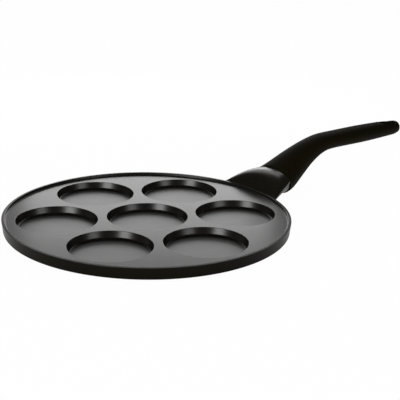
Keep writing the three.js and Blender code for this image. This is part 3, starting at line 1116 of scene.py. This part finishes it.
@dataclass
class HandleScrew:
    """The screw from below, with its two washers and the thread insert in the lug."""

    at: float = 171.0
    radius: float = 2.5
    head_radius: float = 4.7
    head_low: float = 8.0
    head_top: float = 11.0
    head_flat: float = 2.35
    head_skirt: float = 1.0
    end: float = 23.3
    end_chamfer: float = 0.6
    cross_length: float = 5.2
    cross_width: float = 1.3
    cross_depth: float = 1.7
    bore: float = 2.8
    ease: float = 0.12
    steps: int = 64
    dome_steps: int = 8
    crisp_angle: float = 35.0

    def screw(self) -> None:
        """Spins the screw, rounds its head and cuts the cross for the screwdriver."""
        skirt = self.head_top - self.head_skirt
        dome = []
        for i in range(self.dome_steps + 1):
            angle = math.pi / 2 * i / self.dome_steps
            dome.append((
                self.head_flat + (self.head_radius - self.head_flat) * math.sin(angle),
                skirt - (skirt - self.head_low) * math.cos(angle),
            ))
        piece = spun("domed_screw", [
            (0, self.head_low), *dome, (self.head_radius, self.head_top), (self.radius, self.head_top),
            (self.radius, self.end - self.end_chamfer), (self.radius - self.end_chamfer, self.end), (0, self.end),
        ], self.steps, self.at)
        for size in ((self.cross_length, self.cross_width), (self.cross_width, self.cross_length)):
            slot = start(
                "cross_slot", bpy.ops.mesh.primitive_cube_add, size=1,
                location=(self.at * MM, 0, self.head_low * MM),
                scale=(size[0] * MM, size[1] * MM, 2 * self.cross_depth * MM),
            )
            bpy.ops.object.transform_apply()
            combine(piece, slot, Join.CUT)
        ZINC.dress(piece)
        smooth(piece, self.crisp_angle)
        hand_over(piece, "handle_screw")

    def ring(self, name: str, node: str, finish: Finish, slot: str, outer: float, low: float, high: float,
             sweep: float = 360.0) -> None:
        """Spins one ring about the screw, with its edges eased.

        Args:
            name: Name of the piece.
            node: The CAD node that it stands for.
            finish: Its finish.
            slot: The record's material slot; not used.
            outer: Outer radius in millimetres.
            low: Height of its underside.
            high: Height of its top.
            sweep: Angle of the ring, less than a full turn where it is split.
        """
        bore, ease = self.bore, self.ease
        piece = spun(name, [
            (bore, low + ease), (bore + ease, low), (outer - ease, low), (outer, low + ease), (outer, high - ease),
            (outer - ease, high), (bore + ease, high), (bore, high - ease), (bore, low + ease),
        ], self.steps, self.at, sweep)
        if sweep < 360:
            with editing(piece):
                bpy.ops.mesh.select_all(action="SELECT")
                bpy.ops.mesh.fill_holes(sides=0)
                close_up()
        finish.dress(piece)
        smooth(piece, self.crisp_angle)
        hand_over(piece, node)

    def build(self) -> None:
        """Models the screw, the washers and the insert."""
        self.screw()
        self.ring("washer_flat", "flat_washer", ZINC, "washer_steel", outer=5.0, low=12.8, high=13.8)
        self.ring("washer_split", "spring_washer", ZINC, "washer_steel", outer=4.5, low=11.3, high=12.5,
                  sweep=340.0)
        self.ring("insert_in_lug", "thread_insert", STAINLESS, "insert_steel", outer=3.7, low=16.8, high=23.3)


@dataclass(frozen=True)
class Softbox:
    """One studio lamp: bearing from +X and elevation in degrees, distance and size in metres, radiance."""

    name: str
    bearing: float
    elevation: float
    distance: float
    size: Point
    radiance: float

    def build(self) -> None:
        """Adds the lamp, turned to the pan and out of the camera's sight."""
        turn, lift = math.radians(self.bearing), math.radians(self.elevation)
        away = Vector((math.cos(turn) * math.cos(lift), math.sin(turn) * math.cos(lift), math.sin(lift)))
        bpy.ops.object.light_add(type="AREA", location=away * self.distance)
        lamp = bpy.context.active_object
        lamp.name = self.name
        lamp.data.shape = "RECTANGLE"
        lamp.data.size, lamp.data.size_y = self.size
        lamp.data.energy = self.radiance * math.pi * self.size[0] * self.size[1]
        lamp.rotation_euler = away.to_track_quat("Z", "Y").to_euler()
        lamp.visible_camera = False


@dataclass
class Studio:
    """White floor and backdrop, softboxes and the camera of the photograph.

    The floor's size is in metres, and it lies floor_drop millimetres under the base. The backdrop fades from its
    full light to none between two angles in degrees: to its sides, at its top and at its foot.
    """

    floor_size: float = 8.0
    floor_drop: float = 0.1
    floor_glow: float = 0.97
    floor_gloss: float = 0.25
    fill: float = 0.65
    gloss_fill: float = 0.04
    back_bearing: float = 52.0
    backdrop_edge: Point = (36.0, 18.0)
    backdrop_top: Point = (25.0, 16.0)
    backdrop_foot: Point = (3.0, 9.0)
    lens: float = 94.903
    sensor: float = 36.0
    camera_at: tuple[float, float, float] = (-0.55268, -0.71150, 0.32545)
    camera_turn: tuple[float, float, float] = (71.5479, -1.3902, -40.3808)

    def floor(self) -> None:
        """Lays a white floor that keeps the pan's shadow."""
        floor = start("studio_floor", bpy.ops.mesh.primitive_plane_add, size=self.floor_size,
                      location=(0, 0, -self.floor_drop * MM))
        paper = bpy.data.materials.new("white_background_paper")
        paper.use_nodes = True
        tree = paper.node_tree
        tree.nodes.clear()
        ray = add_node(tree, "ShaderNodeLightPath", {})
        through = add_node(tree, "ShaderNodeMath",
                           {0: ray.outputs["Is Camera Ray"], 1: ray.outputs["Is Transmission Ray"]},
                           operation="MAXIMUM")
        seen = add_node(tree, "ShaderNodeMath", {0: through.outputs[0]}, {1: self.floor_glow}, operation="MULTIPLY")
        share = add_node(tree, "ShaderNodeMath", {0: ray.outputs["Is Glossy Ray"], 2: seen.outputs[0]},
                         {1: self.floor_gloss}, operation="MULTIPLY_ADD", use_clamp=True)
        matte = add_node(tree, "ShaderNodeBsdfDiffuse", {}, {"Color": linear("#f4f4f4")})
        white = add_node(tree, "ShaderNodeEmission", {}, {"Color": WHITE, "Strength": 1.0})
        mix = add_node(tree, "ShaderNodeMixShader",
                       {0: share.outputs[0], 1: matte.outputs[0], 2: white.outputs[0]})
        add_node(tree, "ShaderNodeOutputMaterial", {"Surface": mix.outputs[0]})
        floor.data.materials.append(paper)

    def surroundings(self) -> None:
        """Sets a white background, which gloss shows where it stands behind the pan, and an even fill light."""
        world = bpy.data.worlds.new("studio_surroundings")
        bpy.context.scene.world = world
        world.use_nodes = True
        world.cycles.sampling_method = "NONE"
        tree = world.node_tree
        tree.nodes.clear()
        ray = add_node(tree, "ShaderNodeLightPath", {})
        where = add_node(tree, "ShaderNodeTexCoord", {}).outputs["Generated"]
        turn = math.radians(self.back_bearing)
        behind = add_node(tree, "ShaderNodeVectorMath", {0: where}, {1: (math.cos(turn), math.sin(turn), 0)},
                          operation="DOT_PRODUCT")
        up = add_node(tree, "ShaderNodeSeparateXYZ", {0: where})
        ramps = []
        for value, measure, angles in (
            (behind.outputs["Value"], math.cos, self.backdrop_edge),
            (up.outputs["Z"], math.sin, self.backdrop_top),
            (up.outputs["Z"], math.sin, self.backdrop_foot),
        ):
            none, full = (measure(math.radians(angle)) for angle in angles)
            ramps.append(add_node(tree, "ShaderNodeMapRange", {"Value": value},
                                  {"From Min": none, "From Max": full}, interpolation_type="SMOOTHSTEP"))
        wide, low, high = (ramp.outputs["Result"] for ramp in ramps)
        strip = add_node(tree, "ShaderNodeMath", {0: low, 1: high}, operation="MULTIPLY")
        backdrop = add_node(tree, "ShaderNodeMath", {0: wide, 1: strip.outputs[0]}, operation="MULTIPLY")
        through = add_node(tree, "ShaderNodeMath",
                           {0: ray.outputs["Is Camera Ray"], 1: ray.outputs["Is Transmission Ray"]},
                           operation="MAXIMUM")
        share = add_node(tree, "ShaderNodeMath",
                         {0: ray.outputs["Is Glossy Ray"], 1: backdrop.outputs[0], 2: through.outputs[0]},
                         operation="MULTIPLY_ADD", use_clamp=True)
        level = add_node(tree, "ShaderNodeMapRange", {"Value": ray.outputs["Is Glossy Ray"]},
                         {"To Min": self.fill, "To Max": self.gloss_fill})
        fill = add_node(tree, "ShaderNodeBackground", {"Strength": level.outputs["Result"]}, {"Color": WHITE})
        white = add_node(tree, "ShaderNodeBackground", {}, {"Color": WHITE, "Strength": 1.0})
        mix = add_node(tree, "ShaderNodeMixShader", {0: share.outputs[0], 1: fill.outputs[0], 2: white.outputs[0]})
        add_node(tree, "ShaderNodeOutputWorld", {"Surface": mix.outputs[0]})

    def lamps(self) -> None:
        """Sets up the softboxes."""
        for box in (
            Softbox("back_softbox", bearing=52, elevation=15.4, distance=0.64, size=(0.37, 0.20), radiance=1.8),
            Softbox("rear_softbox", bearing=51, elevation=36, distance=1.2, size=(0.86, 0.36), radiance=1.2),
            Softbox("left_softbox", bearing=194, elevation=19, distance=2.0, size=(0.95, 0.5), radiance=12.0),
            Softbox("right_softbox", bearing=279, elevation=18, distance=2.0, size=(0.9, 0.42), radiance=5.2),
        ):
            box.build()

    def camera(self) -> None:
        """Sets up the camera where the photograph was taken from."""
        bpy.ops.object.camera_add(
            location=self.camera_at, rotation=[math.radians(angle) for angle in self.camera_turn],
        )
        camera = bpy.context.active_object
        camera.data.lens = self.lens
        camera.data.sensor_width = self.sensor
        bpy.context.scene.camera = camera

    def build(self) -> None:
        """Builds the whole set."""
        self.floor()
        self.surroundings()
        self.lamps()
        self.camera()
        bpy.context.scene.view_settings.view_transform = "Standard"


def main() -> None:
    """Builds the studio and every piece in order."""
    logging.basicConfig(level=logging.INFO, format="%(message)s")
    Studio().build()
    pan = PanCasting()
    pan.build()
    guard = FlameGuard(pan)
    guard.build()
    Grip(guard).build()
    HandleScrew().build()
    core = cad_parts["handle_core"]
    NYLON.dress(core)


if __name__ == "__main__":
    main()
